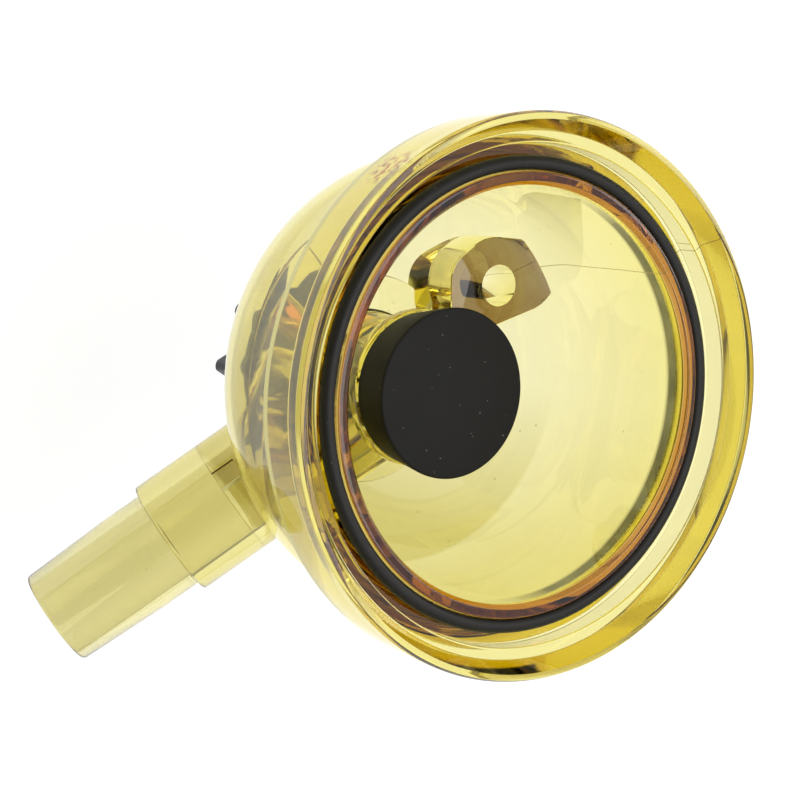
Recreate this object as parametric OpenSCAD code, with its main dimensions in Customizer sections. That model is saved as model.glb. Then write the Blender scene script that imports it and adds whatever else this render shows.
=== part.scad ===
// Claw bowl with a hand shut-off valve. The clear bowl hangs by its rim under the claw's top.
// A rubber plug on a steel stem closes the seat tower, and milk leaves by the outlet tube.
// +Z points out of the open rim, +X towards the outlet, and z = 0 is the ledge inside the rim.

/* [Rim] */
// Outside diameter of the rim
rim_d = 100; // [96:1:124]
// Height of the rim above the ledge
rim_lead = 3; // [2.5:0.1:4]
// Height of the rim band below the ledge
rim_skirt = 9.3; // [8:0.1:13]
// Draft of the rim band, taken off its radius
rim_draft = 0.8; // [0.4:0.1:1.2]
// Edge radius on the rim's top
rim_edge = 1; // [0.6:0.1:1.2]
// Width of the rim's top face
rim_face = 1.5; // [1.2:0.1:2.5]
// Width of the sloping lead-in inside the rim
lead_w = 2.1; // [1.2:0.1:3]
// Width of the ledge that the claw's top rests on
ledge_w = 2.1; // [1.5:0.1:3]
// Depth of the socket below the ledge
socket_depth = 4; // [3:0.1:6]
// Width of the seal groove, between the socket wall and the lip
groove_w = 4.9; // [3.6:0.1:6]
// Width of the inner lip
lip_w = 2.5; // [2:0.1:4]
// Height of the inner lip above the groove
lip_h = 2.8; // [2:0.1:4]
// Section of the rim seal
rim_seal_d = 2.7; // [2:0.1:3.3]

/* [Bowl body] */
// Depth of the body from the ledge to its underside
body_depth = 53.2; // [48:0.1:66]
// Step from the rim band in to the body
body_step = 4.4; // [3:0.1:6]
// Draft of the body's side, taken off its radius
body_draft = 2.9; // [1:0.1:4]
// Outside corner radius of the body
corner_r = 29.7; // [22:0.1:34]
// Wall at the bottom of the straight side
wall_t = 6.2; // [4.5:0.1:7]
// Floor thickness
floor_t = 3.8; // [3:0.1:6]
// Inside corner radius of the body
inner_corner_r = 22; // [18:0.1:26]

/* [Seat tower] */
// Offset of the valve's axis towards the outlet
valve_x = 2.3; // [0:0.1:3]
// Height of the seat above the floor
tower_h = 19; // [17:0.1:24]
// Diameter of the seat's flange
seat_d = 28.8; // [27:0.1:32]
// Thickness of the seat's flange
seat_t = 1.8; // [1.2:0.1:2.5]
// Diameter of the tower below its flange
tower_d = 24.4; // [23.8:0.1:27.6]
// Diameter of the throat under the seat
throat_d = 16.4; // [15:0.1:17]
// Width of the flare from the throat to the seat
flare_w = 2.2; // [1:0.1:3]
// Diameter of the pedestal around the tower
pedestal_d = 39.2; // [32:0.1:44]
// Height of the pedestal above the floor
pedestal_h = 2.4; // [1:0.1:3]

/* [Outlet] */
// Downward tilt of the outlet
outlet_tilt = 24; // [20:0.5:28]
// Height above the floor at which the outlet's axis meets the bowl's axis
outlet_rise = 11.4; // [10.5:0.1:12]
// Outside diameter of the duct and of the tube
tube_d = 22.6; // [20:0.1:27.2]
// Bore of the duct inside the bowl
duct_bore_d = 15; // [12:0.1:15.4]
// Bore of the outlet tube
tube_bore_d = 15.4; // [12:0.1:16]
// Length of duct left outside the bowl's wall
stub_len = 4.2; // [3:0.1:10]
// Length of the tube from the seam to the shoulder
tube_len = 13.7; // [8:0.1:30]
// Diameter of the spigot at its straight land
spigot_d = 19.5; // [18.6:0.1:21]
// Diameter of the spigot at its tip
spigot_tip_d = 18.7; // [18:0.1:19.4]
// Length of the spigot
spigot_len = 25.8; // [20:0.1:40]
// Length of the spigot's straight land
land_len = 8; // [5:0.5:12]
// Diameter of the tenon that is bonded into the duct
tenon_d = 19.4; // [18.6:0.1:20]
// Length of the tenon
tenon_len = 8; // [6:0.5:12]
// Width of the locating key
key_w = 3.4; // [2:0.1:5]
// Length of the locating key
key_len = 4.6; // [3:0.1:7]
// Angle of the locating key round the tube, from the top
key_angle = 46; // [0:1:90]

/* [Locating boss] */
// Height of the boss above the floor
boss_h = 14.1; // [12:0.1:20]
// Bore of the boss
boss_bore_d = 7.8; // [6:0.1:9]
// Depth of the boss's bore
boss_bore_depth = 12; // [8:0.5:14]
// Distance from the bowl's wall in to the bore's axis
boss_inset = 9.7; // [9:0.1:11]
// Distance that the boss's nose runs in from its bore's axis
boss_reach = 11.8; // [8:0.1:12]
// Width of the boss
boss_w = 20.6; // [16:0.1:22]

/* [Valve] */
// Diameter of the plug
plug_d = 31.2; // [29.5:0.1:33]
// Taper of the plug down to its seat, taken off its radius
plug_taper = 1.7; // [0:0.1:2]
// Height of the plug
plug_h = 10; // [9:0.1:14]
// Distance that the valve lifts
lift = 5; // [3:0.1:6]
// Diameter of the stem
stem_d = 6; // [5:0.1:7.2]
// Diameter of the stem's head
stem_head_d = 13; // [11:0.1:15]
// Section of the stem seals
stem_seal_d = 1.6; // [1.3:0.1:1.9]
// Number of stem seals
stem_seal_n = 2; // [1:1:2]
// Wall of the stem bush
bush_wall = 2.55; // [2.4:0.05:3]

/* [Knob] */
// Diameter over the knob's lobes
knob_d = 36; // [32:0.5:42]
// Depth of the lobes
lobe_depth = 3.2; // [2:0.1:4]
// Number of lobes
lobe_n = 9; // [8:1:12]
// Height of the knob
knob_h = 7.5; // [7:0.1:12]
// Angle of the first lobe from the outlet
lobe_phase = 38; // [0:1:44]
// Thread diameter of the knob's screw
screw_d = 3; // [2.5:0.5:3.5]

/* [Clearances] */
// Radial running clearance of the stem in its bush and in the plug
run_gap = 0.05; // [0.03:0.01:0.08]
// Radial gap of a bonded or pressed piece
bond_gap = 0.03; // [0.02:0.01:0.05]
// Gap between the plug and its seat when the valve is shut
seat_gap = 0.2; // [0.1:0.05:0.3]
// Gap left between the knob and the bush when the valve is open
stop_gap = 0.3; // [0.2:0.05:0.6]
// Gap between the knob and the duct when the valve is open
knob_gap = 0.9; // [0.5:0.1:2]

/* [Hidden] */
$fn = 96;
eps = 0.01;

// rim radii, from the outside in
rim_r = rim_d / 2;
mouth_r = rim_r - rim_face;
ledge_r = mouth_r - lead_w;
socket_r = ledge_r - ledge_w;
lip_r = socket_r - groove_w;
lip_bore_r = lip_r - lip_w;
lip_top_z = lip_h - socket_depth;

// body levels and radii
bottom_z = -body_depth;
floor_z = bottom_z + floor_t;
skirt_r = rim_r - rim_draft;
body_r = rim_r - body_step;
side_r = body_r - body_draft;
corner_x = side_r - corner_r;
corner_z = bottom_z + corner_r;
inner_side_r = side_r - wall_t;
inner_corner_x = inner_side_r - inner_corner_r;
inner_corner_z = floor_z + inner_corner_r;

// seat tower
seat_z = floor_z + tower_h;
throat_r = throat_d / 2;
tower_foot = 0.2;

// outlet, measured along its axis from the bowl's axis
tube_r = tube_d / 2;
outlet_z = floor_z + outlet_rise;
top_x = tube_r * sin(outlet_tilt) - corner_x;
top_z = outlet_z + tube_r * cos(outlet_tilt) - corner_z;
exit_b = top_x * cos(outlet_tilt) - top_z * sin(outlet_tilt);
exit_s = sqrt(exit_b * exit_b - top_x * top_x - top_z * top_z + corner_r * corner_r) - exit_b;
seam_s = exit_s + stub_len;
shoulder_s = seam_s + tube_len;
tip_s = shoulder_s + spigot_len;
tip_round = 1;
shoulder_round = 0.6;
key_gap = 0.1;
key_sunk = 0.3;

// locating boss, on the side away from the outlet
boss_top_z = floor_z + boss_h;
boss_drop = inner_corner_z - boss_top_z;
boss_wall_r = inner_corner_x + sqrt(inner_corner_r * inner_corner_r - boss_drop * boss_drop);
boss_x = boss_inset - boss_wall_r;
core_in = 2;

// plug
plug_z = seat_z + seat_gap;
plug_r = plug_d / 2;
plug_face_z = plug_z + plug_h;
plug_edge = 0.5;
plug_foot_r = plug_r - plug_taper;
plug_neck_r = throat_r - 1.7;
plug_neck_h = 3;
head_t = 2;
head_skin = 5.5;
head_gap = 0.1;
head_top_z = plug_face_z - head_skin;
spot_r = plug_r + 1;

// stem bush, knob and lift
stem_r = stem_d / 2;
bush_bore_r = stem_r + run_gap;
bush_r = bush_bore_r + bush_wall;
bush_flange_r = bush_r + 1;
bush_flange_t = 1.2;
bush_tail = 2.2;
clip_t = 0.9;
clip_groove = 0.8;
clip_reach = 1.9;
hub_r = bush_r + 2.9;
hub_min_h = 3;
knob_r = knob_d / 2;
duct_low_z = outlet_z - tube_r / cos(outlet_tilt) - (knob_r + valve_x) * tan(outlet_tilt);
hub_low_z = bottom_z - hub_min_h - bush_tail - stop_gap;
knob_open_z = min(duct_low_z - knob_gap, hub_low_z);
bush_end_z = knob_open_z + stop_gap;
hub_z = bush_end_z + bush_tail;
knob_top_z = knob_open_z - lift;
knob_low_z = knob_top_z - knob_h;
seal_groove_h = stem_seal_d + 0.4;
seal_groove_r = bush_bore_r + stem_seal_d + 0.05;
seal_pitch = seal_groove_h + 1.2;
seal_first_z = floor_z - 2.6;

// knob details
knob_edge = 0.8;
tip_r = 1;
socket_t = 3.2;
recess_r = 5.2;
recess_h = 3.2;
washer_r = 4.6;
washer_t = 0.6;
screw_r = screw_d / 2;
screw_head_r = screw_d * 0.95;
screw_head_h = screw_d * 0.65;
screw_len = 7;
stem_end_z = knob_top_z - socket_t;
flat_x = stem_r * 0.75;

// points of an arc round [x, y], from angle a to angle b
function arc(x, y, r, a, b, n = 12) =
    [for (i = [0:n]) let (t = a + (b - a) * i / n) [x + r * cos(t), y + r * sin(t)]];

// one corner of a closed outline, rounded to radius r
function round_corner(p, q, s, r) =
    let (
        u = (p - q) / norm(p - q),
        v = (s - q) / norm(s - q),
        half = acos(u * v) / 2,
        c = q + (u + v) / norm(u + v) * r / sin(half),
        f = q + u * r / tan(half) - c,
        g = q + v * r / tan(half) - c,
        a = atan2(f[1], f[0]),
        turn = atan2(f[0] * g[1] - f[1] * g[0], f * g)
    )
    arc(c[0], c[1], r, a, a + turn, 8);

// a closed outline with each corner rounded to its own radius
function rounded(pts, radii) =
    let (n = len(pts))
    [for (i = [0:n - 1])
        each round_corner(pts[(i + n - 1) % n], pts[i], pts[(i + 1) % n], radii[i])];

// places its children on the outlet's axis, with their z = 0 at distance s from the bowl's axis
module on_outlet(s) {
    translate([0, 0, outlet_z])
        rotate([0, 90 + outlet_tilt, 0])
            translate([0, 0, s])
                children();
}

// a ring of round section
module o_ring(inner_r, section) {
    rotate_extrude()
        translate([inner_r + section / 2, 0])
            circle(d = section, $fn = 32);
}

// outside of the bowl, as one turned blank
module bowl_blank() {
    rotate_extrude()
        polygon(concat(
            [[0, rim_lead]],
            arc(rim_r - rim_edge, rim_lead - rim_edge, rim_edge, 90, 0, 6),
            [[skirt_r, -rim_skirt], [body_r, -rim_skirt]],
            arc(corner_x, corner_z, corner_r, 0, -90, 24),
            [[0, bottom_z]]
        ));
}

// everything that is open above the floor
module bowl_hollow() {
    rotate_extrude()
        polygon(concat(
            [[0, rim_lead + 1], [mouth_r + 0.7, rim_lead + 1], [mouth_r, rim_lead]],
            [[ledge_r, 0], [socket_r, 0], [socket_r, -socket_depth], [lip_r, -socket_depth]],
            arc(lip_r - 0.4, lip_top_z - 0.4, 0.4, 0, 90, 4),
            [[lip_bore_r + 0.8, lip_top_z], [lip_bore_r, lip_top_z - 0.8]],
            arc(inner_corner_x, inner_corner_z, inner_corner_r, 0, -90, 20),
            [[0, floor_z]]
        ));
}

// middle of the bowl's wall, which trims what grows out of it
module wall_core() {
    rotate_extrude()
        polygon(concat(
            [[0, 0]],
            arc(corner_x, corner_z, corner_r - core_in, 0, -90, 24),
            [[0, bottom_z + core_in]]
        ));
}

// seat tower, its flange, the pedestal and the hub under the floor
module tower() {
    translate([valve_x, 0, 0])
        rotate_extrude()
            polygon([
                [0, seat_z],
                [seat_d / 2 - 0.4, seat_z],
                [seat_d / 2, seat_z - 0.4],
                [seat_d / 2, seat_z - seat_t],
                [tower_d / 2, seat_z - seat_t - (seat_d - tower_d) / 2],
                [tower_d / 2 + tower_foot, floor_z + pedestal_h],
                [pedestal_d / 2 - 0.8, floor_z + pedestal_h],
                [pedestal_d / 2, floor_z + pedestal_h - 0.8],
                [pedestal_d / 2, floor_z - 0.5],
                [hub_r + 0.5, floor_z - 0.5],
                [hub_r + 0.5, bottom_z],
                [hub_r, hub_z],
                [0, hub_z]
            ]);
}

// duct from the tower to the seam, cut flat where the plug comes down
module duct() {
    difference() {
        on_outlet(0)
            cylinder(r = tube_r, h = seam_s);
        translate([valve_x, 0, seat_z])
            cylinder(r = spot_r, h = tube_r);
    }
}

// boss that joins the wall, trimmed inside the wall
module locating_boss() {
    half = boss_w / 2;
    nose_x = boss_x + boss_reach;
    outer_x = -boss_wall_r - 3;
    intersection() {
        translate([0, 0, floor_z - 1])
            linear_extrude(boss_h + 1)
                polygon(rounded(
                    [
                        [nose_x, -2.5],
                        [nose_x - 6, -half],
                        [boss_x - 3.5, -half + 1],
                        [outer_x, 0],
                        [outer_x, half],
                        [boss_x - 5, half],
                        [nose_x - 5.5, half - 5.6]
                    ],
                    [3, 3, 6, 0.5, 0.5, 4, 4]
                ));
        wall_core();
    }
}

// block that makes the tube's key, or with a gap its slot, out to radius reach_r
module key_block(reach_r, gap) {
    root_r = tenon_d / 2 - 0.5;
    rotate([0, 0, 180 + key_angle])
        translate([root_r, -key_w / 2 - gap, -key_len - gap])
            cube([reach_r - root_r, key_w + 2 * gap, key_len + 2 * gap]);
}

module bowl() {
    color([0.87, 0.72, 0.3, 0.55])
    difference() {
        union() {
            difference() {
                bowl_blank();
                bowl_hollow();
            }
            tower();
            duct();
            locating_boss();
        }
        // throat and its flare
        translate([valve_x, 0, floor_z])
            cylinder(r = throat_r, h = tower_h + 1);
        translate([valve_x, 0, seat_z - flare_w])
            cylinder(r1 = throat_r, r2 = throat_r + flare_w + eps, h = flare_w + eps);
        // duct bore, from the throat outwards
        on_outlet(0)
            cylinder(d = duct_bore_d, h = seam_s + 1);
        // socket for the outlet tube's tenon, and the slot for its key
        on_outlet(seam_s - tenon_len)
            cylinder(d = tenon_d + 2 * bond_gap, h = tenon_len + 1);
        on_outlet(seam_s)
            key_block(tube_r + 1, key_gap);
        // bore for the stem bush
        translate([valve_x, 0, hub_z - 1])
            cylinder(r = bush_r + bond_gap, h = floor_z - hub_z + 2);
        // blind bore of the boss
        translate([boss_x, 0, boss_top_z - boss_bore_depth])
            cylinder(d = boss_bore_d, h = boss_bore_depth + 1);
    }
}

module outlet_tube() {
    color([0.9, 0.82, 0.5, 0.55])
    difference() {
        union() {
            on_outlet(seam_s)
                rotate_extrude()
                    polygon(concat(
                        [[0, -tenon_len + bond_gap], [tenon_d / 2 - 0.5, -tenon_len + bond_gap]],
                        [[tenon_d / 2, -tenon_len + 0.5], [tenon_d / 2, 0], [tube_r, 0]],
                        arc(tube_r - shoulder_round, tube_len - shoulder_round, shoulder_round, 0, 90, 4),
                        [[spigot_d / 2, tube_len], [spigot_d / 2, tube_len + land_len]],
                        arc(spigot_tip_d / 2 - tip_round, tube_len + spigot_len - tip_round,
                            tip_round, 0, 90, 6),
                        [[0, tube_len + spigot_len]]
                    ));
            on_outlet(seam_s)
                key_block(tube_r - key_sunk, 0);
        }
        on_outlet(seam_s - tenon_len - 1)
            cylinder(d = tube_bore_d, h = tenon_len + tube_len + spigot_len + 2);
    }
}

module rim_seal() {
    color("#23211f")
    translate([0, 0, -socket_depth + rim_seal_d / 2 + bond_gap])
        o_ring(lip_r + bond_gap, rim_seal_d);
}

module stem_bush() {
    color("#d9d6cc")
    translate([valve_x, 0, 0])
        rotate_extrude()
            difference() {
                polygon([
                    [bush_bore_r, bush_end_z],
                    [bush_r - 0.4, bush_end_z],
                    [bush_r, bush_end_z + 0.4],
                    [bush_r, floor_z + bond_gap],
                    [bush_flange_r, floor_z + bond_gap],
                    [bush_flange_r, floor_z + bush_flange_t - 0.3],
                    [bush_flange_r - 0.3, floor_z + bush_flange_t],
                    [bush_bore_r, floor_z + bush_flange_t]
                ]);
                for (i = [0:stem_seal_n - 1])
                    translate([0, seal_first_z - i * seal_pitch - seal_groove_h])
                        square([seal_groove_r, seal_groove_h]);
                translate([bush_r - clip_groove, hub_z - clip_t - 0.15])
                    square([2, clip_t + 0.1]);
            }
}

module stem_seals() {
    color("#2a2826")
    for (i = [0:stem_seal_n - 1])
        translate([valve_x, 0, seal_first_z - i * seal_pitch - seal_groove_h / 2])
            o_ring(stem_r + run_gap / 2, stem_seal_d);
}

module bush_clip() {
    color("silver")
    translate([valve_x, 0, hub_z - clip_t - 0.1])
        difference() {
            union() {
                cylinder(r = bush_r + clip_reach - 0.6, h = clip_t);
                for (side = [-1, 1])
                    rotate([0, 0, 180 + side * 35])
                        translate([bush_r + 0.9, 0, 0])
                            cylinder(r = 1.2, h = clip_t);
            }
            translate([0, 0, -1])
                cylinder(r = bush_r - clip_groove + bond_gap, h = clip_t + 2);
            translate([-bush_r - clip_reach - 2, -2, -1])
                cube([bush_r + clip_reach, 4, clip_t + 2]);
        }
}

module valve_plug() {
    color("#2b2926")
    translate([valve_x, 0, 0])
        rotate_extrude()
            difference() {
                polygon(concat(
                    [[0, plug_face_z]],
                    arc(plug_r - plug_edge, plug_face_z - plug_edge, plug_edge, 90, 0, 4),
                    [[plug_foot_r, plug_z + plug_edge], [plug_foot_r - plug_edge, plug_z]],
                    [[plug_neck_r, plug_z], [plug_neck_r - 0.8, plug_z - plug_neck_h]],
                    [[0, plug_z - plug_neck_h]]
                ));
                translate([0, plug_z - plug_neck_h - 1])
                    square([stem_r + run_gap, head_top_z - plug_z + plug_neck_h]);
                translate([0, head_top_z - head_t - head_gap])
                    square([stem_head_d / 2 + run_gap, head_t + 2 * head_gap]);
            }
}

module valve_stem() {
    color("silver")
    translate([valve_x, 0, 0])
        difference() {
            rotate_extrude()
                polygon([
                    [0, head_top_z],
                    [stem_head_d / 2 - 0.5, head_top_z],
                    [stem_head_d / 2, head_top_z - 0.5],
                    [stem_head_d / 2, head_top_z - head_t],
                    [stem_r, head_top_z - head_t],
                    [stem_r, stem_end_z + 0.4],
                    [stem_r - 0.4, stem_end_z],
                    [0, stem_end_z]
                ]);
            // flat that stops the knob turning on the stem
            translate([flat_x, -stem_r, stem_end_z - 1])
                cube([stem_r, stem_d, socket_t + 1.5]);
            // tapped hole for the knob's screw
            translate([0, 0, stem_end_z - 1])
                cylinder(r = screw_r, h = screw_len + 1.5);
        }
}

// outline of the knob: a disc with pointed lobes, rounded at their tips
module knob_outline() {
    root_r = knob_r - lobe_depth;
    step = 360 / lobe_n;
    polygon([
        for (i = [0:lobe_n - 1]) let (a = i * step + lobe_phase)
            each concat(
                arc(0, 0, root_r, a - step * 0.5, a - step * 0.24, 3),
                arc((knob_r - tip_r) * cos(a), (knob_r - tip_r) * sin(a), tip_r, a - 50, a + 50, 6),
                arc(0, 0, root_r, a + step * 0.24, a + step * 0.42, 2)
            )
    ]);
}

module knob() {
    color("#1f1e1d")
    translate([valve_x, 0, 0])
        difference() {
            intersection() {
                translate([0, 0, knob_low_z])
                    linear_extrude(knob_h)
                        knob_outline();
                rotate_extrude()
                    polygon([
                        [0, knob_low_z],
                        [knob_r - knob_edge, knob_low_z],
                        [knob_r + 0.1, knob_low_z + knob_edge],
                        [knob_r + 0.1, knob_top_z - knob_edge],
                        [knob_r - knob_edge, knob_top_z],
                        [0, knob_top_z]
                    ]);
            }
            // seat for the stem, with its flat
            difference() {
                translate([0, 0, stem_end_z - bond_gap])
                    cylinder(r = stem_r + bond_gap, h = socket_t + 1);
                translate([flat_x + bond_gap, -stem_d, stem_end_z - 1])
                    cube([stem_r, 2 * stem_d, socket_t + 1]);
            }
            // hole and recess for the screw
            translate([0, 0, knob_low_z - 1])
                cylinder(r = screw_r + 0.2, h = knob_h);
            translate([0, 0, knob_low_z - 1])
                cylinder(r = recess_r, h = recess_h + 1);
            // ring hollowed out of the underside
            translate([0, 0, knob_low_z - 1])
                difference() {
                    cylinder(r = knob_r - lobe_depth - 2.2, h = 2.6);
                    translate([0, 0, -1])
                        cylinder(r = recess_r + 1.8, h = 5);
                }
        }
}

module knob_washer() {
    color("silver")
    translate([valve_x, 0, knob_low_z + recess_h - washer_t - bond_gap])
        difference() {
            cylinder(r = washer_r, h = washer_t);
            translate([0, 0, -1])
                cylinder(r = screw_r + 0.2, h = washer_t + 2);
        }
}

module knob_screw() {
    head_z = knob_low_z + recess_h - washer_t - 2 * bond_gap;
    color("gray")
    translate([valve_x, 0, 0])
        difference() {
            union() {
                translate([0, 0, head_z - screw_head_h])
                    cylinder(r = screw_head_r, h = screw_head_h);
                translate([0, 0, head_z - eps])
                    cylinder(r = screw_r - bond_gap, h = stem_end_z + screw_len - head_z);
            }
            // hexagon socket
            translate([0, 0, head_z - screw_head_h - 1])
                cylinder(d = screw_d * 0.95, h = 1 + screw_head_h * 0.6, $fn = 6);
        }
}

bowl();
outlet_tube();
rim_seal();
stem_bush();
stem_seals();
bush_clip();
valve_plug();
valve_stem();
knob();
knob_washer();
knob_screw();
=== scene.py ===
# Clear amber bowl of a milking claw, with its rubber shut-off valve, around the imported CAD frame.
import math

import bmesh
import bpy
from mathutils import Matrix, Quaternion, Vector


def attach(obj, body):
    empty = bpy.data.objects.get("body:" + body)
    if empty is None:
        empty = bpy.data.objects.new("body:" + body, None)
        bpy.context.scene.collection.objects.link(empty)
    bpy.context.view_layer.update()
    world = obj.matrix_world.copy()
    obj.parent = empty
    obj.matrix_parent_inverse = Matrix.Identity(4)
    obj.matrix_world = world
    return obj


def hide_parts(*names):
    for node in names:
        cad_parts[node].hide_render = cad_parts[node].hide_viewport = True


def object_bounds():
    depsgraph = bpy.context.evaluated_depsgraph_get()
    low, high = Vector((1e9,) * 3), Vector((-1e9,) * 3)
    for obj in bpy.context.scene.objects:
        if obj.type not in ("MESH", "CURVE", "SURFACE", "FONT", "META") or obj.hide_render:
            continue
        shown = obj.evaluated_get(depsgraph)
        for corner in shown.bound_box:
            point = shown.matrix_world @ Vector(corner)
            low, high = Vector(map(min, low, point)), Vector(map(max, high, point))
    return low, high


mm = 0.001

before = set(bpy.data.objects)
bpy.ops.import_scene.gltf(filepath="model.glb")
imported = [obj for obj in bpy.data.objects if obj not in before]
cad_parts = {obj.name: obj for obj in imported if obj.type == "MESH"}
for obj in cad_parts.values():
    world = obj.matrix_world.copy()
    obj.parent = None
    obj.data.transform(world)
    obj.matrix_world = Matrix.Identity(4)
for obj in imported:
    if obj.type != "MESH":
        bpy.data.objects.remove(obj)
cadLow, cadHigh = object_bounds()
print("frame loaded:", len(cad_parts), "nodes")


def fromHex(code, strength=1.0):
    # sRGB hex to linear, for sockets that take linear colour
    channels = [int(code[i:i + 2], 16) / 255 for i in (1, 3, 5)]
    linear = [c / 12.92 if c <= 0.04045 else ((c + 0.055) / 1.055) ** 2.4 for c in channels]
    return tuple(c * strength for c in linear) + (1.0,)


def addNode(tree, kind, settings=None, links=None):
    # settings are properties or input values, links are input name -> output socket
    node = tree.nodes.new(kind)
    for name, value in (settings or {}).items():
        if isinstance(name, int) or name in node.inputs:
            node.inputs[name].default_value = value
        else:
            setattr(node, name, value)
    for name, source in (links or {}).items():
        tree.links.new(source, node.inputs[name])
    return node


def newMaterial(name):
    material = bpy.data.materials.new(name)
    material.use_nodes = True
    material.node_tree.nodes.clear()
    return material, material.node_tree


def finishMaterial(tree, shader, volume=None):
    links = {"Surface": shader.outputs[0]}
    if volume:
        links["Volume"] = volume.outputs[0]
    addNode(tree, "ShaderNodeOutputMaterial", links=links)


# camera

cameraLook = {
    "azimuth": 38.76,
    "elevation": 54.18,
    "roll": 100.5,
    "distance": 523.2,
    "target": (14.1, -11.9, -13.0),
    "lens": 135.0,
    "shiftDown": 0.0077,
}


def makeCamera(look):
    data = bpy.data.cameras.new("camera")
    data.lens = look["lens"]
    data.sensor_width = 36.0
    data.shift_y = -look["shiftDown"]
    data.clip_start, data.clip_end = 0.05, 10.0
    camera = bpy.data.objects.new("camera", data)
    turn, rise = math.radians(look["azimuth"]), math.radians(look["elevation"])
    back = Vector((math.sin(turn) * math.cos(rise), -math.cos(turn) * math.cos(rise), math.sin(rise)))
    camera.rotation_mode = "QUATERNION"
    roll = Quaternion((0, 0, 1), math.radians(look["roll"]))
    camera.rotation_quaternion = (-back).to_track_quat("-Z", "Y") @ roll
    camera.location = Vector(look["target"]) * mm + back * look["distance"] * mm
    bpy.context.scene.collection.objects.link(camera)
    bpy.context.scene.camera = camera


makeCamera(cameraLook)


# studio

# the floor and the lights are in metres, only the drop below the bowl is in mm
studio = {
    "floorSize": 3.0,
    "floorDrop": 30,
    "floorColour": "#a9a9a7",
    "floorGlow": 0.76,
    "sky": ((0.0, "#b5b3ad"), (0.16, "#dcdcd9"), (0.6, "#ffffff")),
    "skyStrength": 0.8,
    "darkSide": (0.366, -0.456, 0.811),
    "darkFrom": 0.75,
    "darkTo": 0.96,
    "darkStrength": 0.35,
    "lights": (
        ("overhead softbox", (0.9, 0.9), 5.0, (-0.1, 0.15, 1.1)),
        ("side softbox", (0.3, 0.9), 2.0, (-0.9, 0.5, 0.5)),
    ),
    "lightTarget": (0, 0, -0.03),
    "bounces": 40,
    "glossyBounces": 12,
}


def makeWorld(look):
    world = bpy.data.worlds.new("studio")
    world.use_nodes = True
    tree = world.node_tree
    tree.nodes.clear()
    coord = addNode(tree, "ShaderNodeTexCoord")
    split = addNode(tree, "ShaderNodeSeparateXYZ", links={"Vector": coord.outputs["Generated"]})
    ramp = addNode(tree, "ShaderNodeValToRGB", links={"Fac": split.outputs["Z"]})
    stops = ramp.color_ramp.elements
    stops.remove(stops[1])
    stops[0].color = fromHex(look["sky"][0][1])
    for place, colour in look["sky"][1:]:
        stops.new(place).color = fromHex(colour)
    # a dark card on one side of the white tent, which glass and rubber pick up
    towards = addNode(tree, "ShaderNodeVectorMath", {"operation": "DOT_PRODUCT", 1: look["darkSide"]},
                      {0: coord.outputs["Generated"]})
    room = addNode(tree, "ShaderNodeMapRange",
                   {"From Min": look["darkFrom"], "From Max": look["darkTo"],
                    "To Min": look["skyStrength"], "To Max": look["darkStrength"]},
                   {"Value": towards.outputs["Value"]})
    light = addNode(tree, "ShaderNodeBackground", links={"Color": ramp.outputs["Color"],
                                                         "Strength": room.outputs["Result"]})
    addNode(tree, "ShaderNodeOutputWorld", links={"Surface": light.outputs[0]})
    bpy.context.scene.world = world


def makeLight(name, size, power, place, target):
    data = bpy.data.lights.new(name, "AREA")
    data.shape = "RECTANGLE"
    data.size, data.size_y = size
    data.energy = power
    light = bpy.data.objects.new(name, data)
    light.location = place
    light.rotation_mode = "QUATERNION"
    light.rotation_quaternion = (Vector(target) - Vector(place)).to_track_quat("-Z", "Y")
    bpy.context.scene.collection.objects.link(light)


def makeFloor(look):
    build = bmesh.new()
    bmesh.ops.create_grid(build, x_segments=8, y_segments=8, size=look["floorSize"] / 2)
    bmesh.ops.translate(build, verts=build.verts, vec=(0, 0, cadLow.z - look["floorDrop"] * mm))
    mesh = bpy.data.meshes.new("floor")
    build.to_mesh(mesh)
    build.free()
    floor = bpy.data.objects.new("floor", mesh)
    material, tree = newMaterial("matt white card")
    shader = addNode(tree, "ShaderNodeBsdfPrincipled",
                     {"Base Color": fromHex(look["floorColour"]), "Roughness": 0.9,
                      "Specular IOR Level": 0.1, "Emission Color": fromHex("#ffffff"),
                      "Emission Strength": look["floorGlow"]})
    finishMaterial(tree, shader)
    mesh.materials.append(material)
    bpy.context.scene.collection.objects.link(floor)


makeWorld(studio)
makeFloor(studio)
for name, size, power, place in studio["lights"]:
    makeLight(name, size, power, place, studio["lightTarget"])
bpy.context.scene.view_settings.view_transform = "Standard"
cycles = bpy.context.scene.cycles
cycles.max_bounces = cycles.transmission_bounces = studio["bounces"]
cycles.glossy_bounces = studio["glossyBounces"]
print("studio ready")


# shapes

def soften(outline, closed=False):
    # points are (x, y) or (x, y, radius), and a radius rounds that corner
    points, count, out = [Vector(p[:2]) for p in outline], len(outline), []
    for i, point in enumerate(outline):
        here = points[i]
        if len(point) < 3 or not closed and i in (0, count - 1):
            out.append(here)
            continue
        back, ahead = points[i - 1] - here, points[(i + 1) % count] - here
        reach = point[2] * math.tan((math.pi - back.angle(ahead)) / 2)
        reach = min(reach, back.length * 0.48, ahead.length * 0.48)
        start, end = here + back.normalized() * reach, here + ahead.normalized() * reach
        steps = 4 if point[2] < 1 else 10
        for t in (k / steps for k in range(steps + 1)):
            out.append(start * (1 - t) ** 2 + here * 2 * t * (1 - t) + end * t * t)
    return out


def arc(x, y, radius, start, end, steps):
    turns = [math.radians(start + (end - start) * i / steps) for i in range(steps + 1)]
    return [(x + radius * math.cos(t), y + radius * math.sin(t)) for t in turns]


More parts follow.
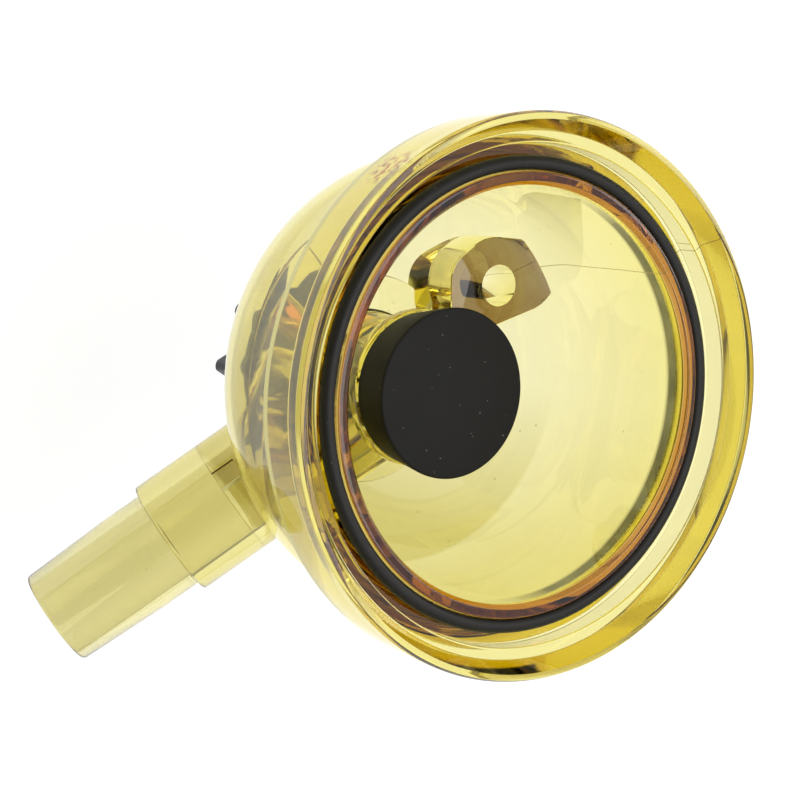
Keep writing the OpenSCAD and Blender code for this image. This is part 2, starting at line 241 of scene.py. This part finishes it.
def meshObject(name, build):
    bmesh.ops.remove_doubles(build, verts=build.verts, dist=0.0005 * mm)
    bmesh.ops.recalc_face_normals(build, faces=build.faces)
    mesh = bpy.data.meshes.new(name)
    build.to_mesh(mesh)
    build.free()
    thing = bpy.data.objects.new(name, mesh)
    bpy.context.scene.collection.objects.link(thing)
    return thing


def turned(name, outline, x=0.0, closed=False, steps=192, place=None):
    # solid of revolution round Z from an outline in mm, moved to x or to a place matrix
    build = bmesh.new()
    verts = [build.verts.new((p[0] * mm, 0, p[1] * mm)) for p in soften(outline, closed)]
    pairs = list(zip(verts, verts[1:])) + ([(verts[-1], verts[0])] if closed else [])
    edges = [build.edges.new(pair) for pair in pairs]
    bmesh.ops.spin(build, geom=verts + edges, axis=(0, 0, 1), cent=(0, 0, 0), angle=math.tau,
                   steps=steps, use_merge=True)
    bmesh.ops.transform(build, matrix=place or Matrix.Translation((x * mm, 0, 0)), verts=build.verts)
    return meshObject(name, build)


def extruded(name, outline, low, high, edge=0.0, place=None):
    # upright solid from a closed outline in mm, with its top edge rounded
    build = bmesh.new()
    verts = [build.verts.new((p[0] * mm, p[1] * mm, low * mm)) for p in soften(outline, True)]
    face = build.faces.new(verts)
    made = bmesh.ops.extrude_face_region(build, geom=[face])["geom"]
    top = [v for v in made if isinstance(v, bmesh.types.BMVert)]
    bmesh.ops.translate(build, verts=top, vec=(0, 0, (high - low) * mm))
    if edge:
        rim = [e for e in build.edges if all(v in top for v in e.verts)]
        bmesh.ops.bevel(build, geom=rim, offset=edge * mm, affect="EDGES", segments=3, profile=0.5,
                        material=-1)
    if place:
        bmesh.ops.transform(build, matrix=place, verts=build.verts)
    return meshObject(name, build)


def combine(base, changes):
    # bakes a row of unions and cuts into the base, and throws the tools away
    for operation, tool in changes:
        step = base.modifiers.new(tool.name, "BOOLEAN")
        step.operation, step.object, step.solver = operation, tool, "EXACT"
    result = base.evaluated_get(bpy.context.evaluated_depsgraph_get())
    mesh = bpy.data.meshes.new_from_object(result)
    base.modifiers.clear()
    base.data = mesh
    for operation, tool in changes:
        bpy.data.objects.remove(tool)
    return base


def dress(piece, body, material, nodes, edgeAngle=28):
    piece.data.materials.clear()
    piece.data.materials.append(material)
    piece.data.shade_smooth()
    piece.data.set_sharp_from_angle(angle=math.radians(edgeAngle))
    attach(piece, body)
    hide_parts(*nodes)


# materials

def band(tree, source, low, high, edge):
    # 1 between two heights or radii in mm, fading out over the edge
    middle = addNode(tree, "ShaderNodeMath", {"operation": "SUBTRACT", 1: (low + high) / 2 * mm},
                     {0: source})
    away = addNode(tree, "ShaderNodeMath", {"operation": "ABSOLUTE"}, {0: middle.outputs["Value"]})
    half = (high - low) / 2
    return addNode(tree, "ShaderNodeMapRange", {"From Min": (half + edge) * mm, "From Max": half * mm},
                   {"Value": away.outputs["Value"]}).outputs["Result"]


def along(tree, coord, direction, low, high, most=1.0):
    # 0 to most from one distance in mm to another, measured along a direction
    reach = addNode(tree, "ShaderNodeVectorMath", {"operation": "DOT_PRODUCT", 1: direction},
                    {0: coord.outputs["Object"]})
    return addNode(tree, "ShaderNodeMapRange",
                   {"From Min": low * mm, "From Max": high * mm, "To Max": most},
                   {"Value": reach.outputs["Value"]}).outputs["Result"]


def paint(tree, colour, masks, code):
    # tints a colour where all the masks meet
    strength = masks[0]
    for mask in masks[1:]:
        strength = addNode(tree, "ShaderNodeMath", {"operation": "MULTIPLY"},
                           {0: strength, 1: mask}).outputs["Value"]
    mix = addNode(tree, "ShaderNodeMix", {"data_type": "RGBA", 7: fromHex(code)}, {0: strength})
    if isinstance(colour, str):
        mix.inputs[6].default_value = fromHex(colour)
    else:
        tree.links.new(colour, mix.inputs[6])
    return mix.outputs[2]


def specks(tree, coord, look):
    # small round marks in a few of the cells of a scatter
    cells = addNode(tree, "ShaderNodeTexVoronoi", {"Scale": 1 / (look["speckPitch"] * mm)},
                    {"Vector": coord.outputs["Object"]})
    pick = addNode(tree, "ShaderNodeSeparateColor", links={"Color": cells.outputs["Color"]})
    near = addNode(tree, "ShaderNodeMapRange", {"From Min": look["speckSize"], "From Max": 0.0},
                   {"Value": cells.outputs["Distance"]})
    return pick.outputs["Red"], near.outputs["Result"]


def clearPlastic(name, look):
    # moulded polysulfone: clear and glossy, darker amber the longer the light's way through it
    material, tree = newMaterial(name)
    coord = addNode(tree, "ShaderNodeTexCoord")
    waves = addNode(tree, "ShaderNodeTexNoise", {"Scale": 1 / (look["waveSize"] * mm), "Detail": 2.0},
                    {"Vector": coord.outputs["Object"]})
    smears = addNode(tree, "ShaderNodeTexNoise", {"Scale": 1 / (look["smearSize"] * mm), "Detail": 5.0},
                     {"Vector": coord.outputs["Object"]})
    haze = addNode(tree, "ShaderNodeMapRange", {"From Min": 0.45, "From Max": 0.75,
                                                "To Min": look["roughLow"], "To Max": look["roughHigh"]},
                   {"Value": smears.outputs["Fac"]})
    cloud = addNode(tree, "ShaderNodeMapRange", {"From Min": 0.35, "From Max": 0.65, "To Min": 0.93},
                    {"Value": smears.outputs["Fac"]}).outputs["Result"]
    bump = addNode(tree, "ShaderNodeBump", {"Strength": look["bump"], "Distance": 0.1 * mm},
                   {"Height": waves.outputs["Fac"]})
    where = addNode(tree, "ShaderNodeSeparateXYZ", links={"Vector": coord.outputs["Object"]})
    level = addNode(tree, "ShaderNodeCombineXYZ",
                    links={"X": where.outputs["X"], "Y": where.outputs["Y"]})
    radius = addNode(tree, "ShaderNodeVectorMath", {"operation": "LENGTH"}, {0: level.outputs["Vector"]})
    height, across = where.outputs["Z"], radius.outputs["Value"]

    # painted shade: darker, deeper amber on one side of the bowl, where the bowl's shadow on the floor
    # shows through
    deepAndShadeMasks = [along(tree, coord, look["deepAndShadeSide"], look["deepAndShadeFrom"], look["deepAndShadeTo"], look["deepAndShadeMost"]),
            band(tree, across, -1.0, look["deepAndShadeReach"], 0.5)]
    colour = paint(tree, look["surfaceTint"], deepAndShadeMasks, look["deepAndShadeTint"])

    # painted shade: brown face of the boss and orange lip, standing in for the long dark light paths and
    # dark reflections in them, and the dark band that the lip throws on the wall
    shape = addNode(tree, "ShaderNodeNewGeometry")
    facing = addNode(tree, "ShaderNodeSeparateXYZ", links={"Vector": shape.outputs["Normal"]})
    flat = addNode(tree, "ShaderNodeMath", {"operation": "GREATER_THAN", 1: 0.97},
                   {0: facing.outputs["Z"]})
    # painted shade: the boss's flat top face tinted brown
    top = look["bossTop"]
    boss = [flat.outputs["Value"], band(tree, height, top - 0.1, top + 0.1, 0.1), cloud]
    colour = paint(tree, colour, boss, look["bossShadeTint"])
    # painted shade and painted reflection: the lip tinted orange-brown for its long light paths and dark
    # reflections
    lip = [band(tree, across, *look["lipShadeRadii"], 0.25), band(tree, height, *look["lipShadeHeights"], 0.4)]
    colour = paint(tree, colour, lip, look["lipShadeTint"])
    shade = [along(tree, coord, look["farSide"], 2, 16), band(tree, across, *look["shadeRadii"], 0.2),
             band(tree, height, *look["shadeHeights"], 1.0), cloud]
    colour = paint(tree, colour, shade, look["shadeTint"])

    # weld line where the melt met, on the inner wall and on the rim
    angle = math.radians(look["weldAngle"])
    plane = addNode(tree, "ShaderNodeVectorMath",
                    {"operation": "DOT_PRODUCT", 1: (math.sin(angle), -math.cos(angle), 0)},
                    {0: coord.outputs["Object"]})
    wander = addNode(tree, "ShaderNodeMath", {"operation": "MULTIPLY_ADD", 1: 0.5 * mm, 2: -0.25 * mm},
                     {0: smears.outputs["Fac"]})
    line = addNode(tree, "ShaderNodeMath", {"operation": "ADD"},
                   {0: plane.outputs["Value"], 1: wander.outputs["Value"]})
    zone = addNode(tree, "ShaderNodeMath", {"operation": "MAXIMUM"},
                   {0: band(tree, across, *look["weldWall"], 0.3),
                    1: band(tree, height, *look["weldRim"], 0.3)})
    weld = [band(tree, line.outputs["Value"], -0.04, 0.04, 0.08),
            band(tree, where.outputs["X"], *look["weldReach"], 0.5), zone.outputs["Value"]]
    colour = paint(tree, colour, weld, look["weldTint"])

    # crumbly reddish stain on the rim, and specks of dirt all over
    reach = addNode(tree, "ShaderNodeVectorMath",
                    {"operation": "DISTANCE", 1: tuple(v * mm for v in look["stainAt"])},
                    {0: coord.outputs["Object"]})
    patch = addNode(tree, "ShaderNodeMapRange",
                    {"From Min": look["stainOuter"] * mm, "From Max": look["stainInner"] * mm},
                    {"Value": reach.outputs["Value"]})
    crumbs = addNode(tree, "ShaderNodeTexNoise", {"Scale": 1 / (look["crumbSize"] * mm), "Detail": 4.0},
                     {"Vector": coord.outputs["Object"]})
    crumb = addNode(tree, "ShaderNodeMapRange", {"From Min": 0.46, "From Max": 0.56},
                    {"Value": crumbs.outputs["Fac"]})
    colour = paint(tree, colour, [patch.outputs["Result"], crumb.outputs["Result"]], look["stainTint"])
    pick, near = specks(tree, coord, look)
    few = addNode(tree, "ShaderNodeMath", {"operation": "GREATER_THAN", 1: 1 - look["speckShare"]},
                  {0: pick})
    colour = paint(tree, colour, [near, few.outputs["Value"]], look["weldTint"])

    shader = addNode(tree, "ShaderNodeBsdfPrincipled", {"IOR": look["ior"], "Transmission Weight": 1.0},
                     {"Base Color": colour, "Roughness": haze.outputs["Result"],
                      "Normal": bump.outputs["Normal"]})
    volume = addNode(tree, "ShaderNodeVolumeAbsorption",
                     {"Color": look["tint"], "Density": look["density"]})
    finishMaterial(tree, shader, volume)
    return material


def rubber(name, look):
    # moulded rubber, or nylon and acetal by their looks: soft sheen, fine grain, pale settled dust
    material, tree = newMaterial(name)
    coord = addNode(tree, "ShaderNodeTexCoord")
    grain = addNode(tree, "ShaderNodeTexNoise", {"Scale": 1 / (look["grain"] * mm), "Detail": 6.0},
                    {"Vector": coord.outputs["Object"]})
    cloud = addNode(tree, "ShaderNodeTexNoise", {"Scale": 1 / (look["cloudSize"] * mm), "Detail": 3.0},
                    {"Vector": coord.outputs["Object"]})
    shade = paint(tree, look["dark"], [cloud.outputs["Fac"]], look["light"])
    pick, near = specks(tree, coord, look)
    rare = addNode(tree, "ShaderNodeMapRange", {"From Min": 1 - look["speckShare"], "From Max": 1.0,
                                                "To Max": 0.8}, {"Value": pick})
    dusty = paint(tree, shade, [near, rare.outputs["Result"]], look["speckTint"])
    rough = addNode(tree, "ShaderNodeMapRange", {"To Min": look["roughLow"], "To Max": look["roughHigh"]},
                    {"Value": cloud.outputs["Fac"]})
    bump = addNode(tree, "ShaderNodeBump", {"Strength": look["bump"], "Distance": 0.05 * mm},
                   {"Height": grain.outputs["Fac"]})
    shader = addNode(tree, "ShaderNodeBsdfPrincipled", {"Specular IOR Level": look["specular"]},
                     {"Base Color": dusty, "Roughness": rough.outputs["Result"],
                      "Normal": bump.outputs["Normal"]})
    finishMaterial(tree, shader)
    return material


def turnedSteel(name, look):
    # stainless steel with the fine rings that a lathe leaves round the stem's axis
    material, tree = newMaterial(name)
    coord = addNode(tree, "ShaderNodeTexCoord")
    shift = addNode(tree, "ShaderNodeMapping", {"Location": (-look["centre"] * mm, 0, 0)},
                    {"Vector": coord.outputs["Object"]})
    rings = addNode(tree, "ShaderNodeTexWave",
                    {"wave_type": "RINGS", "rings_direction": "Z", "Scale": 1 / (look["ringPitch"] * mm),
                     "Distortion": 1.5, "Detail": 2.0}, {"Vector": shift.outputs["Vector"]})
    stain = addNode(tree, "ShaderNodeTexNoise", {"Scale": 1 / (look["stainSize"] * mm), "Detail": 4.0},
                    {"Vector": coord.outputs["Object"]})
    rough = addNode(tree, "ShaderNodeMapRange", {"To Min": look["roughLow"], "To Max": look["roughHigh"]},
                    {"Value": stain.outputs["Fac"]})
    tone = paint(tree, look["dark"], [stain.outputs["Fac"]], look["light"])
    bump = addNode(tree, "ShaderNodeBump", {"Strength": 0.25, "Distance": 0.02 * mm},
                   {"Height": rings.outputs["Fac"]})
    shader = addNode(tree, "ShaderNodeBsdfPrincipled", {"Metallic": 1.0},
                     {"Base Color": tone, "Roughness": rough.outputs["Result"],
                      "Normal": bump.outputs["Normal"]})
    finishMaterial(tree, shader)
    return material


# lengths in mm, heights and radii in the row frame
bowlLook = {
    "ior": 1.6,
    "tint": (0.94, 0.885, 0.25, 1),
    "density": 105.0,
    "surfaceTint": "#f1eed3",
    "waveSize": 18,
    "smearSize": 14,
    "roughLow": 0.01,
    "roughHigh": 0.07,
    "bump": 0.03,
    "bossTop": -35.3,
    # painted shade on the boss's top face
    "bossShadeTint": "#472204",
    # painted shade and painted reflection on the lip
    "lipShadeRadii": (37.0, 39.3),
    "lipShadeHeights": (-2.2, -1.0),
    "lipShadeTint": "#ae621c",
    "farSide": (-0.63, 0.78, 0.0),
    "shadeRadii": (35.8, 37.3),
    "shadeHeights": (-6.0, -3.9),
    "shadeTint": "#16160a",
    "weldAngle": 174.0,
    "weldWall": (30.8, 37.3),
    "weldRim": (-8.5, 3.5),
    "weldReach": (-51, -31),
    "weldTint": "#6b5a30",
    "stainAt": (-3.5, -49.9, -2.0),
    "stainOuter": 5.5,
    "stainInner": 3.0,
    "crumbSize": 1.1,
    "stainTint": "#9a4a2c",
    # painted shade on one side of the bowl, and an even deeper amber on the tube
    "deepAndShadeSide": (0.8, 0.6, 0.0),
    "deepAndShadeFrom": -4.0,
    "deepAndShadeTo": 27.0,
    "deepAndShadeMost": 1.0,
    "deepAndShadeReach": 37.5,
    "deepAndShadeTint": "#cfc683",
    "speckPitch": 4.0,
    "speckSize": 0.07,
    "speckShare": 0.3,
}
plugLook = {
    "dark": "#0d0c0a",
    "light": "#161512",
    "grain": 0.25,
    "cloudSize": 6,
    "speckPitch": 1.3,
    "speckSize": 0.13,
    "speckShare": 0.22,
    "speckTint": "#b8b09a",
    "roughLow": 0.5,
    "roughHigh": 0.68,
    "bump": 0.3,
    "specular": 0.22,
}
sealLook = dict(plugLook, dark="#12110f", light="#1c1a17", speckPitch=0.9, speckShare=0.1, roughLow=0.4,
                roughHigh=0.55, specular=0.3)
knobLook = dict(plugLook, dark="#222326", light="#2e3034", grain=0.35, speckPitch=2.0, speckShare=0.08,
                roughLow=0.4, roughHigh=0.55, bump=0.2, specular=0.45)
steelLook = {
    "centre": 2.3,
    "ringPitch": 3,
    "stainSize": 2.5,
    "roughLow": 0.22,
    "roughHigh": 0.42,
    "dark": "#b9b6b0",
    "light": "#d6d4cf",
}
bushLook = dict(plugLook, dark="#d3cfc2", light="#e0ddd2", speckShare=0.02, roughLow=0.35, roughHigh=0.5)
# the deeper tint, painted shade on the bowl, starts far outside the tube, so that all of the tube is
# evenly a quarter deeper
tubeLook = dict(bowlLook, deepAndShadeFrom=-900, deepAndShadeTo=-800, deepAndShadeMost=0.25, deepAndShadeReach=90.0, speckPitch=3.0)

amber = clearPlastic("clear amber polysulfone", bowlLook)
paleAmber = clearPlastic("pale amber polysulfone", tubeLook)
plugRubber = rubber("dusty black rubber", plugLook)
sealRubber = rubber("black seal rubber", sealLook)
knobPlastic = rubber("satin black nylon", knobLook)
bushPlastic = rubber("natural acetal", bushLook)
steel = turnedSteel("turned stainless steel", steelLook)
print("materials ready")


# bowl

# outline points are (radius, height) or (radius, height, corner), and arcs (radius, height, size)
bowl = {
    "valveX": 2.3,
    "floorZ": -49.4,
    "bottomZ": -53.2,
    "seatZ": -30.4,
    "hubZ": -57.81,
    "rim": [(0, 3), (49, 3), (49.6, 2.9, 0.2), (49.98, 2, 0.8), (49.2, -9.3, 0.4), (45.6, -9.3, 0.7)],
    "body": (13.0, -23.5, 29.7),
    "midWall": 2.0,
    "lip": [(0, 4), (49.2, 4), (48.5, 3), (46.4, 0, 0.3), (44.3, 0, 0.4), (44.3, -4, 0.5),
            (39.4, -4, 0.5), (39.4, -1.2, 0.5), (37.7, -1.2, 0.4), (36.9, -2.0, 0.4)],
    "hollow": (14.5, -27.4, 22),
    "seatR": 14.4,
    "towerR": 12.4,
    "pedestalR": 19.6,
    "pedestalH": 2.4,
    "throat": 8.2,
    "flare": 2.2,
    "bushBore": 5.63,
    "bossTop": bowlLook["bossTop"],
    "bossX": -25.33,
    "bossHalf": 10.3,
    "bossReach": 11.8,
    "bossBore": 3.9,
    "bossDepth": 12,
}
outlet = {
    "tilt": 24,
    "z": -38.0,
    "seam": 38.98,
    "duct": 11.3,
    "ductBore": 7.5,
    "tubeBore": 7.7,
    "shoulder": 13.7,
    "spigot": 9.75,
    "land": 21.7,
    "tip": 39.4,
    "tipR": 9.2,
    "keyAngle": 46,
    "keyHalf": 1.7,
    "keyRoot": 9.2,
    "keyLength": 4.6,
    "keyTop": 11.0,
    "keyGap": 0.12,
}


def onOutlet(distance):
    # matrix that puts z = 0 at a distance along the outlet's axis
    turn = Matrix.Rotation(math.radians(90 + outlet["tilt"]), 4, "Y")
    start = Matrix.Translation((0, 0, outlet["z"] * mm))
    return start @ turn @ Matrix.Translation((0, 0, distance * mm))


def towerOutline(look):
    floor, seat, hub = look["floorZ"], look["seatZ"], look["hubZ"]
    step = floor + look["pedestalH"]
    return [(0, seat), (look["seatR"], seat, 0.4), (look["seatR"], seat - 1.8, 0.5),
            (look["towerR"] - 0.2, seat - 4.0, 1.5), (look["towerR"], step, 0.8),
            (look["pedestalR"], step, 0.8), (look["pedestalR"], floor - 0.5), (9.2, floor - 0.5),
            (9.05, look["bottomZ"]), (8.55, hub, 0.4), (0, hub)]


def bossOutline(look):
    # seen from above: nose towards the valve, tail sunk in the wall
    x, half, nose = look["bossX"], look["bossHalf"], look["bossX"] + look["bossReach"]
    return [(nose + 0.4, -2.5, 4), (nose - 6, -half, 6), (x - 3.5, 1 - half, 9), (-38.0, 0),
            (-38.0, half - 1), (x - 5, half - 0.5, 8), (nose - 5.2, half - 5.4, 7)]


def keyBlock(name, look, gap, reach):
    # locating key of the tube, or with a gap the slot for it
    side, foot = look["keyHalf"] + gap, look["keyRoot"] - gap
    turn = Matrix.Rotation(math.radians(180 + look["keyAngle"]), 4, "Z")
    return extruded(name, [(foot, -side), (reach, -side, 0.4), (reach, side, 0.4), (foot, side)],
                    -look["keyLength"] - gap, 0.3, place=onOutlet(look["seam"]) @ turn)


def makeBowl(look, out):
    floor, seat, seam, x = look["floorZ"], look["seatZ"], out["seam"], look["valveX"]
    bodyX, bodyZ, bodyR = look["body"]
    hollowX, hollowZ, hollowR = look["hollow"]
    inset = look["midWall"]
    shell = turned("bowlShell", look["rim"] + arc(bodyX, bodyZ, bodyR, 0, -90, 40)
                   + [(0, look["bottomZ"])], steps=256)
    hollow = turned("hollow", look["lip"] + arc(hollowX, hollowZ, hollowR, 0, -90, 36) + [(0, floor)],
                    steps=256)
    core = turned("core", [(0, 0), (bodyX + bodyR - inset, 0)]
                  + arc(bodyX, bodyZ, bodyR - inset, 0, -90, 40) + [(0, bodyZ - bodyR + inset)])
    boss = extruded("boss", bossOutline(look), floor - 1, look["bossTop"], edge=0.35)
    combine(boss, [("INTERSECT", core)])
    ductEnd = seam + 0.03  # runs just into the tube, as the bonded joint is clear
    duct = turned("duct", [(0, 0), (out["duct"], 0), (out["duct"], ductEnd), (0, ductEnd)],
                  place=onOutlet(0))
    spot = turned("spot", [(0, seat), (16.6, seat), (16.6, seat + 12), (0, seat + 12)], x)
    combine(duct, [("DIFFERENCE", spot)])
    tower = turned("tower", towerOutline(look), x)
    flareR = look["throat"] + look["flare"]
    throat = turned("throat", [(0, floor), (look["throat"], floor), (look["throat"], seat - 2.2, 1.5),
                               (flareR, seat), (flareR, seat + 1), (0, seat + 1)], x)
    ductBore = turned("ductBore", [(0, 0), (out["ductBore"], 0), (out["ductBore"], seam - 8),
                                   (out["tubeBore"], seam - 8), (out["tubeBore"], seam + 1),
                                   (0, seam + 1)], place=onOutlet(0))
    bushBore = turned("bushBore", [(0, floor + 2), (look["bushBore"], floor + 2),
                                   (look["bushBore"], look["hubZ"] - 1), (0, look["hubZ"] - 1)], x)
    top, low = look["bossTop"] + 1, look["bossTop"] - look["bossDepth"]
    bossBore = turned("bossBore", [(0, top), (look["bossBore"], top), (look["bossBore"], low, 0.5),
                                   (0, low)], look["bossX"], steps=96)
    keySlot = keyBlock("keySlot", out, out["keyGap"], 12.0)
    combine(shell, [("DIFFERENCE", hollow), ("UNION", tower), ("UNION", duct), ("UNION", boss),
                    ("DIFFERENCE", throat), ("DIFFERENCE", ductBore), ("DIFFERENCE", bushBore),
                    ("DIFFERENCE", bossBore), ("DIFFERENCE", keySlot)])
    dress(shell, "bowl", amber, ["bowl"])


def makeTube(look):
    tube = turned("outletTube", [(look["tubeBore"], 0), (look["duct"], 0),
                                 (look["duct"], look["shoulder"], 0.6),
                                 (look["spigot"], look["shoulder"], 0.3),
                                 (look["spigot"], look["land"], 2), (look["tipR"], look["tip"], 0.9),
                                 (look["tubeBore"], look["tip"], 0.4)],
                  closed=True, place=onOutlet(look["seam"]))
    combine(tube, [("UNION", keyBlock("key", look, 0.0, look["keyTop"]))])
    dress(tube, "bowl", paleAmber, ["outlet_tube"])


makeBowl(bowl, outlet)
makeTube(outlet)
print("bowl ready")


# rim seal

seal = {"inner": 39.43, "section": 2.7, "z": -2.62}


def makeSeal(look):
    half = look["section"] / 2
    ring = turned("rimSeal", arc(look["inner"] + half, look["z"], half, 0, 337.5, 15),
                  closed=True, steps=256)
    dress(ring, "bowl", sealRubber, ["rim_seal"], 60)


makeSeal(seal)


# plug

plug = {
    "face": -20.2,
    "foot": -30.2,
    "faceR": 15.6,
    "footR": 13.9,
    "neckR": 6.5,
    "neckEnd": -33.2,
    "stemR": 3.05,
    "headR": 6.55,
    "headTop": 5.4,
    "headFoot": 7.6,
}


def makePlug(look):
    headTop, headFoot = look["face"] - look["headTop"], look["face"] - look["headFoot"]
    outline = [(0, look["face"]), (look["faceR"], look["face"], 0.5), (look["footR"], look["foot"], 0.6),
               (look["neckR"], look["foot"], 0.5), (look["neckR"] - 0.8, look["neckEnd"], 0.4),
               (look["stemR"], look["neckEnd"]), (look["stemR"], headFoot), (look["headR"], headFoot),
               (look["headR"], headTop), (0, headTop)]
    piece = turned("plug", outline, bowl["valveX"])
    dress(piece, "plug", plugRubber, ["valve_plug"])


makePlug(plug)

# pieces whose own mesh stays
kept = {
    "stem_bush": bushPlastic,
    "stem_seals": sealRubber,
    "bush_clip": steel,
    "valve_stem": steel,
    "knob": knobPlastic,
    "knob_washer": steel,
    "knob_screw": steel,
}
for node, material in kept.items():
    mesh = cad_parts[node].data
    mesh.materials.clear()
    mesh.materials.append(material)
print("pieces ready")
